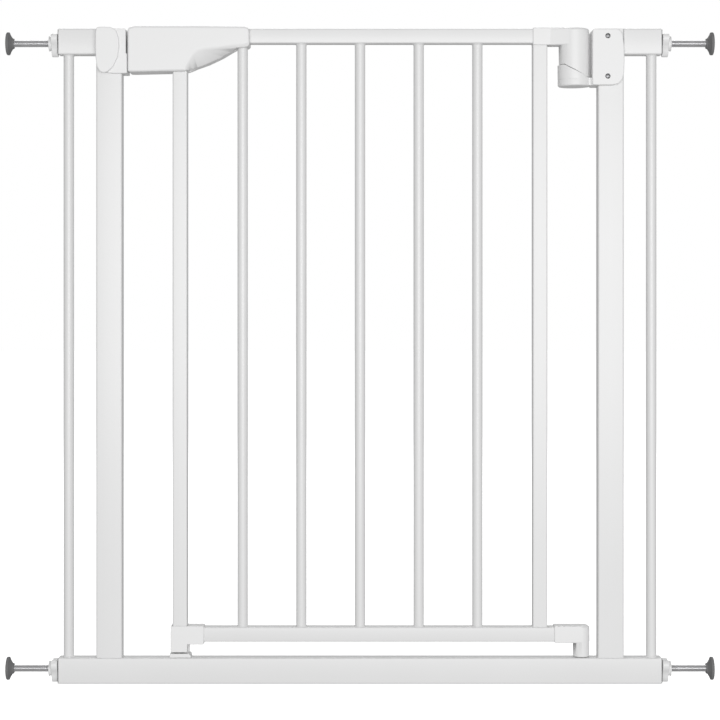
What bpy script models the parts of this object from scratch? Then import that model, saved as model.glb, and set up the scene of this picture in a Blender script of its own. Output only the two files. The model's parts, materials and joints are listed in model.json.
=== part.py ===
"""A pressure-fitted safety gate: a fixed tube frame, a barred door that falls shut on a rising cam hinge,
a handle with a slide bolt, and four screw spindles with wall pads.

Metres, +Z up. The origin is on the floor under the middle of the gate, with +X to the right and the room
at -Y.
"""

import math

import bmesh
import bpy
from mathutils import Matrix, Vector

for old in list(bpy.data.objects):
    bpy.data.objects.remove(old, do_unlink=True)

MM = 0.001

# ---- driving dimensions ----
FRAME_WIDTH = 0.700  # over the tube ends
FRAME_HEIGHT = 0.760
TUBE_WIDTH = 0.030
TUBE_DEPTH = 0.020
TUBE_WALL = 0.0012
TUBE_CORNER = 0.0020
OUTER_INSET = 0.044  # a post's outer side, in from the tube ends
OUTER_BAR_INSET = 0.0110  # an outer round bar's axis, in from the tube ends
BAR_DIAMETER = 0.012
BAR_WALL = 0.0011
DOOR_TUBE = 0.017
DOOR_CORNER = 0.0018
SIDE_GAP = 0.0585  # between a post and the door's stile, on both sides
DOOR_LIFT = 0.0485  # from the floor to the door's underside
BARS = 5
END_GAP_EXTRA = 0.0016  # the two end gaps between bars are this much wider
ROD_DIAMETER = 0.008
PAD_DIAMETER = 0.0266
PAD_REACH = 0.061  # from a tube end to the wall pad's face
JOINT = 0.0003  # gap where two welded or pressed pieces meet
FIT = 0.0004  # clearance round a tube in a moulding
CAM_RISE = 0.015
CAM_GAP = 0.0007
PIN_RADIUS = 0.004
LOW_PIN_RADIUS = 0.0035
HINGE_TOP_OFF = 0.0267  # hinge axis from the right post's inner side, at the top
HINGE_LOW_OFF = 0.0186  # and at the bottom, so that the door falls shut
HINGE_TOP_DROP = 0.040  # upper hinge point, down from the frame's top
BARREL_RADIUS = 0.0177
CUP_RADIUS = 0.0193
HANDLE_HALF = 0.018
HOUSING_HALF = 0.0155
BRACKET_HALF = 0.0180
SCREW_HOLE = 0.00195  # radius of the holes for the hinge's and the catch's screws
BOLT_HEIGHT = 0.012
BOLT_DEPTH = 0.010
BOLT_DROP = 0.038  # bolt's middle, down from the frame's top
SPRING_TURNS = 5
GRIP_START = 78.0  # mm from the latch, where the handle's grip starts to follow the first bar
GRIP_TO_BAR = 0.0614  # from there to the first bar, when the grip has its drawn length

# ---- derived places ----
END_X = FRAME_WIDTH / 2
POST_X = END_X - OUTER_INSET - TUBE_WIDTH / 2
INNER_X = POST_X - TUBE_WIDTH / 2
OUTER_X = POST_X + TUBE_WIDTH / 2
HALF_DOOR_TUBE = DOOR_TUBE / 2
STILE_X = INNER_X - SIDE_GAP - HALF_DOOR_TUBE
STILE_IN = STILE_X - HALF_DOOR_TUBE
STILE_OUT = STILE_X + HALF_DOOR_TUBE
TOP = FRAME_HEIGHT
RAIL_TOP = TUBE_WIDTH
DOOR_TOP = DOOR_LIFT + DOOR_TUBE  # top of the door's bottom rail
DOOR_RAIL_Z = DOOR_LIFT + HALF_DOOR_TUBE
TOP_RAIL_Z = TOP - HALF_DOOR_TUBE
PITCH = (2 * STILE_IN + BAR_DIAMETER - 2 * END_GAP_EXTRA) / (BARS + 1)
BAR_XS = [(k - (BARS - 1) / 2) * PITCH for k in range(BARS)]
ROD_RADIUS = ROD_DIAMETER / 2
SPINDLE_Z = {"low": RAIL_TOP * 0.55, "top": TOP - RAIL_TOP * 0.55}
TUBE_END = END_X - 0.0006
BOLT_Z = TOP - BOLT_DROP
LATCH = Vector((-INNER_X, 0, TOP))  # where the left post's inner side meets the top
HANG = Vector((INNER_X, 0, TOP))  # the same place on the right post
HINGE_TOP = Vector((INNER_X - HINGE_TOP_OFF, 0, TOP - HINGE_TOP_DROP))
HINGE_LOW = Vector((INNER_X - HINGE_LOW_OFF, 0, RAIL_TOP + 0.001))
TILT = (0, math.atan2(HINGE_TOP.x - HINGE_LOW.x, HINGE_TOP.z - HINGE_LOW.z), 0)
SIDES = {"left": -1, "right": 1}

# turns that lay a piece's own Z along an axis
QUARTER = math.pi / 2
ALONG = {
    "X": (0, QUARTER, 0), "-X": (0, -QUARTER, 0), "Y": (-QUARTER, 0, 0), "-Y": (QUARTER, 0, 0), "Z": (0, 0, 0)}
# turns that stand a flat outline up, facing an axis, with its own Y upwards
FACING = {"X": (QUARTER, 0, QUARTER), "Y": (QUARTER, 0, 0), "Z": (0, 0, 0)}
OUTWARDS = {-1: "-X", 1: "X"}  # away from the gate's middle, for each side's sign
INWARDS = {-1: "X", 1: "-X"}

# grey level, roughness and metallic value of each finish
PAINT = (0.82, 0.35, 0.0)
PLASTIC = (0.86, 0.35, 0.0)
GREY_PLASTIC = (0.13, 0.55, 0.0)
RUBBER = (0.17, 0.75, 0.0)
STEEL = (0.55, 0.30, 1.0)
SLIDING_PLASTIC = (0.70, 0.45, 0.0)

PARTS = bpy.data.collections.new("safety_gate")
CUTTERS = bpy.data.collections.new("cutters")
for collection in (PARTS, CUTTERS):
    bpy.context.scene.collection.children.link(collection)


# ---- making objects ----
def made(name, data, place=(0, 0, 0), turn=(0, 0, 0)):
    piece = bpy.data.objects.new(name, data)
    piece.location = place
    piece.rotation_euler = turn
    PARTS.objects.link(piece)
    return piece


def mesh_of(name, bm):
    mesh = bpy.data.meshes.new(name)
    bm.to_mesh(mesh)
    bm.free()
    return mesh


def finished(piece, finish):
    """Gives the piece a material of its own, and shades its round faces smooth."""
    grey, roughness, metallic = finish
    material = bpy.data.materials.new(piece.name)
    material.use_nodes = True
    shader = material.node_tree.nodes["Principled BSDF"]
    shader.inputs["Base Color"].default_value = (grey, grey, grey, 1.0)
    shader.inputs["Roughness"].default_value = roughness
    shader.inputs["Metallic"].default_value = metallic
    piece.data.materials.clear()
    piece.data.materials.append(material)
    if piece.type == "MESH":
        piece.data.shade_smooth()
        piece.data.set_sharp_from_angle(angle=math.radians(35))
    return piece


def block(name, low, high):
    """A box between two corners."""
    low, high = Vector(low), Vector(high)
    bm = bmesh.new()
    bmesh.ops.create_cube(bm, size=1.0)
    bmesh.ops.scale(bm, vec=high - low, verts=bm.verts)
    return made(name, mesh_of(name, bm), (low + high) / 2)


def cylinder(name, radius, start, length, along, sides=32):
    """A solid cylinder from its start point, along an axis."""
    bm = bmesh.new()
    bmesh.ops.create_cone(
        bm, cap_ends=True, segments=sides, radius1=radius, radius2=radius, depth=length,
        matrix=Matrix.Translation((0, 0, length / 2)))
    return made(name, mesh_of(name, bm), start, ALONG[along])


def turned(name, profile, place, turn, sides=24, closed=False):
    """A profile of (radius, height) turned about its own Z. It runs down the outer side, or is a closed ring."""
    bm = bmesh.new()
    points = [bm.verts.new((radius, 0, height)) for radius, height in profile]
    ends = points[1:] + points[:1] if closed else points[1:]
    for start, end in zip(points, ends):
        bm.edges.new((start, end))
    piece = made(name, mesh_of(name, bm), place, turn)
    screw = piece.modifiers.new("Turn", "SCREW")
    screw.steps = sides
    screw.render_steps = sides
    screw.use_merge_vertices = True
    screw.merge_threshold = 0.00001
    return piece


def as_mesh(piece, merge_flats=True):
    """The piece as a plain mesh at the same place, its curve's caps welded and its modifiers applied."""
    bpy.context.view_layer.update()
    shape = piece.evaluated_get(bpy.context.evaluated_depsgraph_get())
    mesh = bpy.data.meshes.new_from_object(shape)
    name = piece.name
    place = piece.matrix_world.copy()
    bpy.data.objects.remove(piece, do_unlink=True)
    bm = bmesh.new()
    bm.from_mesh(mesh)
    bmesh.ops.remove_doubles(bm, verts=bm.verts, dist=0.00001)
    if merge_flats:
        bmesh.ops.dissolve_limit(bm, angle_limit=math.radians(0.5), verts=bm.verts, edges=bm.edges)
    bmesh.ops.recalc_face_normals(bm, faces=bm.faces)
    bm.to_mesh(mesh)
    bm.free()
    plain = made(name, mesh)
    plain.matrix_world = place
    return plain


def slab(name, outline, place, facing, near, far):
    """A flat outline, thickened along the axis it faces from near to far."""
    curve = bpy.data.curves.new(name, "CURVE")
    curve.dimensions = "2D"
    curve.fill_mode = "BOTH"
    curve.extrude = (far - near) / 2
    line = curve.splines.new("POLY")
    line.points.add(len(outline) - 1)
    for point, (across, up) in zip(line.points, outline):
        point.co = (across, up, 0, 1)
    line.use_cyclic_u = True
    middle = Vector(place)
    middle["XYZ".index(facing)] += (near + far) / 2
    return as_mesh(made(name, curve, middle, FACING[facing]))


def soften(piece, width, segments=2, sharper_than=50):
    """Rounds the piece's sharp edges."""
    bevel = piece.modifiers.new("Soften", "BEVEL")
    bevel.width = width
    bevel.segments = segments
    bevel.limit_method = "ANGLE"
    bevel.angle_limit = math.radians(sharper_than)
    return piece


def work(piece, operation, tools):
    """Adds a Boolean for each tool, which is put among the cutters."""
    for tool in tools:
        PARTS.objects.unlink(tool)
        CUTTERS.objects.link(tool)
        tool.hide_render = True
        tool.display_type = "WIRE"
        boolean = piece.modifiers.new(operation.title(), "BOOLEAN")
        boolean.operation = operation
        boolean.object = tool
    return piece


def cut(piece, *tools):
    return work(piece, "DIFFERENCE", tools)


def joined(piece, *tools):
    return work(piece, "UNION", tools)


def mm(*points):
    return [(x * MM, z * MM) for x, z in points]


def rounded_rectangle(width, depth, corner, steps=3):
    """An outline with quarter-circle corners, about its own middle."""
    points = []
    for quarter, (x, y) in enumerate(((1, 1), (-1, 1), (-1, -1), (1, -1))):
        for k in range(steps + 1):
            angle = QUARTER * (quarter + k / steps)
            points.append((
                x * (width / 2 - corner) + corner * math.cos(angle),
                y * (depth / 2 - corner) + corner * math.sin(angle)))
    return points


def square_tube(name, width, depth, corner, start, end, along):
    """A hollow tube with open ends. Its width is across X, or along Z where the tube lies along X."""
    start, end = Vector(start), Vector(end)
    length = (end - start).length
    bm = bmesh.new()
    bmesh.ops.create_cube(bm, size=1.0)
    bmesh.ops.scale(bm, vec=(width, depth, length), verts=bm.verts)
    ends = [face for face in bm.faces if abs(face.normal.z) > 0.9]
    bmesh.ops.delete(bm, geom=ends, context="FACES_ONLY")
    tube = made(name, mesh_of(name, bm), (start + end) / 2, ALONG[along])
    soften(tube, corner, 3)
    wall = tube.modifiers.new("Wall", "SOLIDIFY")
    wall.thickness = TUBE_WALL
    wall.offset = -1.0
    wall.use_even_offset = True
    return tube


def frame_tube(name, start, end, along):
    return finished(square_tube(name, TUBE_WIDTH, TUBE_DEPTH, TUBE_CORNER, start, end, along), PAINT)


def door_tube(name, start, end, along):
    return finished(square_tube(name, DOOR_TUBE, DOOR_TUBE, DOOR_CORNER, start, end, along), PAINT)


def round_bar(name, x, low, high):
    """A hollow round bar standing at x."""
    bm = bmesh.new()
    bmesh.ops.create_cone(
        bm, cap_ends=False, segments=24, radius1=BAR_DIAMETER / 2, radius2=BAR_DIAMETER / 2, depth=high - low)
    bar = made(name, mesh_of(name, bm), (x, 0, (low + high) / 2))
    wall = bar.modifiers.new("Wall", "SOLIDIFY")
    wall.thickness = BAR_WALL
    wall.offset = -1.0
    wall.use_even_offset = True
    return finished(bar, PAINT)


def hang(pieces, empty_name, place, turn=(0, 0, 0), parent=None):
    """Hangs the pieces on an empty that stands on their joint's axis, and leaves them where they are."""
    empty = bpy.data.objects.new(empty_name, None)
    empty.location = place
    empty.rotation_euler = turn
    PARTS.objects.link(empty)
    if parent:
        bpy.context.view_layer.update()
        empty.parent = parent
        empty.matrix_parent_inverse = parent.matrix_world.inverted()
    bpy.context.view_layer.update()
    for piece in pieces:
        piece.parent = empty
        piece.matrix_parent_inverse = empty.matrix_world.inverted()
    return empty


# ---- fixed frame ----
def bottom_rail():
    rail = frame_tube("bottom_rail", (-TUBE_END, 0, RAIL_TOP / 2), (TUBE_END, 0, RAIL_TOP / 2), "X")
    pin_hole = cylinder("pin_hole", LOW_BUSH_RADIUS + JOINT, HINGE_LOW - Vector((0, 0, 0.006)), 0.010, "Z", 24)
    screw_start = (CATCH_SCREW_X, CATCH_SCREW_Y, RAIL_TOP - 0.004)
    screw_hole = cylinder("screw_hole", SCREW_HOLE, screw_start, 0.008, "Z", 24)
    return cut(rail, pin_hole, screw_hole)


def post(side, sign):
    """A post, open where its spindle, the bolt and the hinge's screws enter it."""
    low, high = (sign * POST_X, 0, RAIL_TOP + JOINT), (sign * POST_X, 0, TOP - 0.0012)
    made_post = frame_tube(f"{side}_post", low, high, "Z")
    outer = (sign * (OUTER_X + 0.004), 0, SPINDLE_Z["top"])
    cut(made_post, cylinder("spindle_hole", ROD_RADIUS + 0.001, outer, 0.008, INWARDS[sign]))
    if side == "left":
        window = block(
            "bolt_window", (LATCH.x - 0.008, -0.006, BOLT_Z - BOLT_HEIGHT / 2 - 0.001),
            (LATCH.x + 0.008, 0.006, BOLT_Z + BOLT_HEIGHT / 2 + 0.001))
        return cut(made_post, window)
    for x, z in HINGE_SCREWS.values():
        cut(made_post, cylinder("screw_hole", SCREW_HOLE, (x, -0.020, z), 0.014, "Y", 24))
    return made_post


def top_stub(side, sign):
    inner, outer = sorted((sign * (OUTER_X + JOINT), sign * TUBE_END))
    z = TOP - TUBE_WIDTH / 2
    return frame_tube(f"{side}_top_stub", (inner, 0, z), (outer, 0, z), "X")


def post_plug(side, sign):
    """The cap in a post's top: a thin flange on a body inside the tube."""
    inside = 2 * TUBE_WALL + 0.0010
    plug = slab(
        f"{side}_post_plug", rounded_rectangle(TUBE_WIDTH - 0.0002, TUBE_DEPTH - 0.0002, TUBE_CORNER),
        (sign * POST_X, 0, TOP), "Z", -0.0009, 0)
    soften(plug, 0.0004, 1)
    body = block(
        "plug_body", (sign * POST_X - TUBE_WIDTH / 2 + inside / 2, -TUBE_DEPTH / 2 + inside / 2, TOP - 0.0065),
        (sign * POST_X + TUBE_WIDTH / 2 - inside / 2, TUBE_DEPTH / 2 - inside / 2, TOP - 0.0005))
    return finished(joined(plug, soften(body, 0.0008, 1)), PLASTIC)


def end_plug(side, sign, level):
    """The plug in a tube's end, bored for its spindle."""
    z = RAIL_TOP / 2 if level == "low" else TOP - TUBE_WIDTH / 2
    inside = 2 * TUBE_WALL + 0.0008
    near, far = sorted((sign * (TUBE_END + 0.0003), sign * (TUBE_END + 0.0012)))
    outline = rounded_rectangle(TUBE_DEPTH - 0.0016, TUBE_WIDTH - 0.0016, TUBE_CORNER - 0.0008)
    plug = slab(f"{side}_{level}_end_plug", outline, (0, 0, z), "X", near, far)
    near, far = sorted((sign * (TUBE_END - 0.012), sign * (TUBE_END + 0.0008)))
    body = block(
        "plug_body", (near, -(TUBE_DEPTH - inside) / 2, z - (TUBE_WIDTH - inside) / 2),
        (far, (TUBE_DEPTH - inside) / 2, z + (TUBE_WIDTH - inside) / 2))
    joined(plug, soften(body, 0.0008, 1))
    start = (sign * (TUBE_END - 0.020), 0, SPINDLE_Z[level])
    cut(plug, cylinder("bore", ROD_RADIUS + 0.0004, start, 0.030, OUTWARDS[sign]))
    return finished(plug, GREY_PLASTIC)


# ---- spindles ----
NUT_INNER = END_X + 0.0009  # a hand nut's face next to the tube
NUT_GRIP = 0.0074  # length of its lobed part
NUT_LENGTH = 0.0108
LOBE_RADIUS = 0.0156
WAIST_RADIUS = 0.0095
HUB_RADIUS = 0.0082
SPINDLE_INNER = OUTER_X + 0.008
PAD_SOCKET = 0.0034  # floor of the pad's socket, in from its face


def hand_nut(side, sign, level):
    """Three lobes to grip, one of them pointing down, and a hub with a thin rim."""
    outline = []
    for k in range(36):
        angle = 2 * math.pi * k / 36
        lobe = (0.5 + 0.5 * math.cos(3 * angle)) ** 1.3
        radius = WAIST_RADIUS + (LOBE_RADIUS - WAIST_RADIUS) * lobe
        outline.append((radius * math.sin(angle), -radius * math.cos(angle)))
    z = SPINDLE_Z[level]
    near, far = sorted((sign * NUT_INNER, sign * (NUT_INNER + NUT_GRIP)))
    nut = slab(f"{side}_{level}_hand_nut", outline, (0, 0, z), "X", near, far)
    soften(nut, 0.0010)
    rim = HUB_RADIUS + 0.0006
    profile = [
        (0, NUT_LENGTH), (rim, NUT_LENGTH), (rim, 0.0100), (HUB_RADIUS, 0.0098), (HUB_RADIUS, 0.0040), (0, 0.0040)]
    joined(nut, turned("hub", profile, (sign * NUT_INNER, 0, z), ALONG[OUTWARDS[sign]], 36))
    start = (sign * (NUT_INNER - 0.010), 0, z)
    cut(nut, cylinder("bore", ROD_RADIUS + 0.0003, start, 0.040, OUTWARDS[sign]))
    return finished(nut, PLASTIC)


def spindle(side, sign, level):
    length = END_X + PAD_REACH - PAD_SOCKET - JOINT - SPINDLE_INNER
    chamfer = 0.0006
    profile = [(0, length), (ROD_RADIUS, length), (ROD_RADIUS, chamfer), (ROD_RADIUS - chamfer, 0), (0, 0)]
    place = (sign * SPINDLE_INNER, 0, SPINDLE_Z[level])
    return finished(turned(f"{side}_{level}_spindle", profile, place, ALONG[OUTWARDS[sign]]), STEEL)


def wall_pad(side, sign, level):
    """A rubber pad: a flat face, a straight rim and a cone down to the socket that holds the spindle."""
    rim = PAD_DIAMETER / 2
    socket = ROD_RADIUS + 0.0003
    profile = [
        (0, PAD_SOCKET), (socket, PAD_SOCKET), (socket, 0.0084), (socket + 0.0013, 0.0084),
        (rim - 0.0006, 0.0052), (rim, 0.0046), (rim, 0.0008), (rim - 0.0008, 0), (0, 0)]
    place = (sign * (END_X + PAD_REACH), 0, SPINDLE_Z[level])
    return finished(turned(f"{side}_{level}_wall_pad", profile, place, ALONG[INWARDS[sign]], 32), RUBBER)


# ---- latch side ----
def latch_housing():
    """The bolt's keeper: a moulding round the left post's top, with a window for the bolt."""
    outline = mm(
        (6.4, -52.3), (6.4, -29.4), (5.0, -29.0), (5.0, -1.6), (3.5, -0.6), (-24.5, -0.6), (-27.0, -3.0),
        (-27.5, -20.0), (-26.5, -36.0), (-22.0, -47.0), (-15.0, -51.8), (-10.0, -52.3))
    housing = soften(slab("latch_housing", outline, LATCH, "Y", -HOUSING_HALF, HOUSING_HALF), 0.0008)
    channel = block(
        "post_channel", (LATCH.x - 0.040, -TUBE_DEPTH / 2 - JOINT, TOP - 0.080),
        (LATCH.x + JOINT, TUBE_DEPTH / 2 + JOINT, TOP + 0.020))
    window = block(
        "keeper_window", (LATCH.x - 0.020, -BOLT_DEPTH / 2 - 0.0006, BOLT_Z - BOLT_HEIGHT / 2 - 0.0006),
        (LATCH.x + 0.020, BOLT_DEPTH / 2 + 0.0006, BOLT_Z + BOLT_HEIGHT / 2 + 0.0006))
    return finished(cut(housing, channel, window), PLASTIC)


def latch_cap(face, sign):
    """The proud oval cap on the housing's face."""
    outline = mm(
        (-28.5, 0.4), (-22, 1.1), (-12, 0.6), (-5.8, -3.0), (-3.1, -12), (-2.4, -22), (-4.2, -34), (-9, -44.5),
        (-15, -50.4), (-20, -52.0), (-24.8, -50.5), (-28, -45), (-29.4, -35), (-29.8, -20), (-29.7, -6))
    near, far = sorted((sign * (HOUSING_HALF + JOINT), sign * 0.0190))
    return finished(soften(slab(f"latch_cap_{face}", outline, LATCH, "Y", near, far), 0.0012, 3, 40), PLASTIC)


# ---- hinge side ----
CUP_FOOT = -0.0265  # heights on the hinge axis, from the upper hinge point
CUP_BAND = -0.0188
CUP_FLOOR = -0.0250
CAM_LOW = -0.0166
SLEEVE_RADIUS = PIN_RADIUS + 0.0025
LOW_SLEEVE_RADIUS = LOW_PIN_RADIUS + 0.0019
LOW_BUSH_RADIUS = LOW_PIN_RADIUS + 0.0025
BARREL_TOP = 0.0408
HINGE_SCREWS = {"upper": (INNER_X + 0.0105, TOP - 0.0093), "lower": (INNER_X + 0.0105, TOP - 0.0559)}


def with_cam(piece, level):
    """Raises the piece's rim at this level into the cam, low towards +X, with a rest at each end."""
    piece = as_mesh(piece, merge_flats=False)
    for vertex in piece.data.vertices:
        if abs(vertex.co.z - level) < 0.0006:
            turn = math.degrees(math.atan2(abs(vertex.co.y), vertex.co.x))
            vertex.co.z += CAM_RISE * min(max((turn - 45) / 90, 0), 1)
    return piece


def hinge_bracket():
    """The top hinge's fixed half: a moulding round the right post, a web, and the cup with the lower cam."""
    outline = mm(
        (-7.3, -66.1), (16, -66.1), (23, -64.4), (27.2, -60), (29.2, -52), (29.7, -38), (29.3, -22), (27.8, -10),
        (25.5, -4), (22, -1.2), (-5.8, -1.2), (-7.3, -2.7))
    bracket = soften(slab("hinge_bracket", outline, HANG, "Y", -BRACKET_HALF, BRACKET_HALF), 0.0015, 2, 40)
    channel = block(
        "post_channel", (INNER_X - JOINT, -TUBE_DEPTH / 2 - JOINT, TOP - 0.090),
        (INNER_X + 0.040, TUBE_DEPTH / 2 + JOINT, TOP + 0.020))
    cut(bracket, channel)
    web = block(
        "web", (HINGE_TOP.x + 0.009, -0.011, HINGE_TOP.z + CUP_FOOT + 0.0007),
        (INNER_X - 0.0066, 0.011, HINGE_TOP.z + CAM_LOW - 0.0006))
    bore = PIN_RADIUS + 0.0032
    grip = PIN_RADIUS + 0.0002
    cup = turned(
        "cup", [
            (0, CUP_FLOOR), (grip, CUP_FLOOR), (grip, -0.0200), (bore, -0.0200), (bore, CAM_LOW),
            (CUP_RADIUS - 0.0005, CAM_LOW), (CUP_RADIUS, CAM_LOW - 0.0005), (CUP_RADIUS, CUP_BAND + 0.0005),
            (CUP_RADIUS - 0.0004, CUP_BAND + 0.0002), (CUP_RADIUS - 0.0004, CUP_BAND - 0.0003),
            (CUP_RADIUS, CUP_BAND - 0.0006), (CUP_RADIUS, CUP_FOOT + 0.0012), (CUP_RADIUS - 0.0012, CUP_FOOT),
            (0, CUP_FOOT)],
        HINGE_TOP, TILT, 48)
    joined(bracket, web, with_cam(cup, CAM_LOW))
    for x, z in HINGE_SCREWS.values():
        cut(bracket, cylinder("screw_hole", SCREW_HOLE, (x, -0.030, z), 0.022, "Y", 24))
        cut(bracket, cylinder("head_hole", 0.0031, (x, -0.030, z), 0.014, "Y"))
    return finished(bracket, PLASTIC)


def hinge_screw(label, x, z):
    head, shank = 0.0029, 0.0017
    profile = [
        (0, 0.0126), (shank - 0.0007, 0.0126), (shank, 0.0118), (shank, 0.0016), (head, 0.0016), (head, 0.0005),
        (head - 0.0005, 0), (0, 0)]
    return finished(turned(f"hinge_screw_{label}", profile, (x, -0.0179, z), ALONG["Y"], 16), STEEL)


def pin(name, radius, low, high, place):
    profile = [(0, high), (radius - 0.0008, high), (radius, high - 0.0008), (radius, low), (0, low)]
    return finished(turned(name, profile, place, TILT), STEEL)


def bush(name, inner, outer, low, high, place):
    profile = [(inner, high), (outer, high), (outer, low), (inner, low)]
    return finished(turned(name, profile, place, TILT, closed=True), SLIDING_PLASTIC)


def hinge_pins_and_sleeves():
    """Both hinges' pins, the sleeves that turn on them, and the bush in the bottom rail."""
    pin("top_hinge_pin", PIN_RADIUS, CUP_FLOOR + 0.0003, 0.0280, HINGE_TOP)
    pin("bottom_hinge_pin", LOW_PIN_RADIUS, -0.0185, 0.0290, HINGE_LOW)
    bush("bottom_hinge_bush", LOW_PIN_RADIUS + 0.0002, LOW_BUSH_RADIUS, -0.0190, -0.0010, HINGE_LOW)
    sleeves = [
        bush("top_hinge_sleeve", PIN_RADIUS + 0.00025, SLEEVE_RADIUS, -0.0196, 0.0292, HINGE_TOP),
        bush("bottom_hinge_sleeve", LOW_PIN_RADIUS + 0.00025, LOW_SLEEVE_RADIUS, 0.0004, 0.0305, HINGE_LOW)]
    hang(sleeves, "rise_axis", HINGE_LOW, TILT)


# ---- bottom catch ----
CATCH = Vector((-STILE_X, 0, RAIL_TOP))
CATCH_SCREW_X = CATCH.x + 0.0007
CATCH_SCREW_Y = -0.0015


def bottom_catch():
    """The stop under the door's free corner: a foot on the rail, and an upright that the door closes against."""
    top = (DOOR_LIFT - RAIL_TOP) / MM - 3.2
    foot = slab(
        "bottom_catch", mm((-11.9, 0.3), (13.2, 0.3), (12.2, 3.6), (10.4, 4.9), (-10.9, 4.9), (-11.9, 3.9)),
        CATCH, "Y", -0.0096, 0.0096)
    soften(foot, 0.0006)
    upright = slab(
        "upright", mm((-10.2, 2.0), (10.6, 2.0), (10.4, top - 0.4), (9.4, top), (-9.2, top), (-10.2, top - 1.0)),
        CATCH, "Y", 0.0044, 0.0092)
    joined(foot, upright)
    for name, radius, floor in (("screw_hole", SCREW_HOLE, -0.010), ("head_hole", 0.0032, 0.0030)):
        start = (CATCH_SCREW_X, CATCH_SCREW_Y, RAIL_TOP + floor)
        cut(foot, cylinder(name, radius, start, 0.010 - floor, "Z", 24))
    return finished(foot, PLASTIC)


def catch_screw():
    head, shank = 0.0030, 0.0016
    profile = [
        (0, 0.0046), (head - 0.0004, 0.0046), (head, 0.0042), (head, 0.0033), (shank, 0.0033), (shank, -0.0072),
        (shank - 0.0006, -0.0080), (0, -0.0080)]
    place = (CATCH_SCREW_X, CATCH_SCREW_Y, RAIL_TOP)
    return finished(turned("catch_screw", profile, place, ALONG["Z"], 16), STEEL)


# ---- door ----
RAIL_END = HINGE_LOW.x - 0.0125  # where the door's bottom rail stops inside the elbow


def rail_space(name, low_x, high_x, z):
    """A cutter for the space that a door rail takes in a moulding, with its clearance."""
    reach = HALF_DOOR_TUBE + FIT
    return block(name, (low_x, -reach, z - reach), (high_x, reach, z + reach))


def stile_space(name, low_z, high_z):
    """A cutter for the space that the left stile takes in a moulding."""
    reach = HALF_DOOR_TUBE + FIT
    return block(name, (-STILE_X - reach, -reach, low_z), (-STILE_X + reach, reach, high_z))


def door_tubes():
    stile_low, stile_high = DOOR_TOP + JOINT, TOP - DOOR_TUBE - JOINT
    tubes = [
        door_tube("door_top_rail", (-STILE_OUT, 0, TOP_RAIL_Z), (STILE_OUT, 0, TOP_RAIL_Z), "X"),
        door_tube("door_bottom_rail", (-STILE_OUT, 0, DOOR_RAIL_Z), (RAIL_END, 0, DOOR_RAIL_Z), "X")]
    for side, sign in SIDES.items():
        tubes.append(door_tube(
            f"door_{side}_stile", (sign * STILE_X, 0, stile_low), (sign * STILE_X, 0, stile_high), "Z"))
    for k, x in enumerate(BAR_XS):
        tubes.append(round_bar(f"door_bar_{k + 1}", x, stile_low, stile_high))
    return tubes


def hinge_arm():
    """The door's half of the top hinge: a sleeve on the top rail's end, and the barrel with the upper cam."""
    cam_level = CAM_LOW + CAM_GAP
    bore = SLEEVE_RADIUS + 0.0003
    barrel = turned(
        "hinge_arm", [
            (0, BARREL_TOP), (BARREL_RADIUS - 0.0030, BARREL_TOP - 0.0002),
            (BARREL_RADIUS - 0.0009, BARREL_TOP - 0.0010), (BARREL_RADIUS, BARREL_TOP - 0.0028),
            (BARREL_RADIUS, cam_level), (bore, cam_level), (bore, 0.0300), (0, 0.0300)],
        HINGE_TOP, TILT, 48)
    arm = with_cam(barrel, cam_level)
    end = HINGE_TOP.x - BARREL_RADIUS + 0.006
    sleeve = block(
        "rail_sleeve", (STILE_IN + 0.0001, -HALF_DOOR_TUBE - 0.0020, TOP_RAIL_Z - HALF_DOOR_TUBE - 0.0020),
        (end, HALF_DOOR_TUBE + 0.0020, TOP_RAIL_Z + HALF_DOOR_TUBE + 0.0012))
    joined(arm, soften(sleeve, 0.0011))
    space = rail_space("rail_space", STILE_IN - 0.010, STILE_OUT + FIT, TOP_RAIL_Z)
    below = block(
        "stile_space", (STILE_IN - 0.010, -HALF_DOOR_TUBE - FIT, TOP - DOOR_TUBE - 0.010),
        (STILE_OUT + FIT, HALF_DOOR_TUBE + FIT, TOP - DOOR_TUBE))
    cut(arm, space, below)
    return finished(arm, PLASTIC)


def lower_hinge_elbow():
    """A sleeve on the bottom rail's end, and the leg that turns on the lower pin."""
    reach = HALF_DOOR_TUBE + 0.0015
    elbow = block(
        "lower_hinge_elbow", (HINGE_LOW.x - 0.0319, -reach, DOOR_RAIL_Z - reach + 0.0004),
        (HINGE_LOW.x + 0.0005, reach, DOOR_RAIL_Z + reach))
    soften(elbow, 0.0010)
    foot = DOOR_LIFT - HINGE_LOW.z
    shoulder = turned(
        "shoulder", [
            (0, foot + DOOR_TUBE + 0.0018), (reach - 0.0026, foot + DOOR_TUBE + 0.0016),
            (reach, foot + DOOR_TUBE - 0.0004), (reach, foot - 0.0002), (reach - 0.0010, foot - 0.0012),
            (0, foot - 0.0012)],
        HINGE_LOW, TILT, 32)
    leg = turned(
        "leg", [(0, 0.0250), (reach - 0.0005, 0.0250), (reach - 0.0005, 0.0007), (reach - 0.0012, 0), (0, 0)],
        HINGE_LOW, TILT, 32)
    joined(elbow, shoulder, leg)
    bore = LOW_SLEEVE_RADIUS + 0.0003
    profile = [(0, 0.0315), (bore, 0.0315), (bore, -0.010), (0, -0.010)]
    sleeve_space = turned("sleeve_space", profile, HINGE_LOW, TILT)
    cut(elbow, rail_space("rail_space", HINGE_LOW.x - 0.050, RAIL_END + FIT, DOOR_RAIL_Z), sleeve_space)
    return finished(elbow, PLASTIC)


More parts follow.
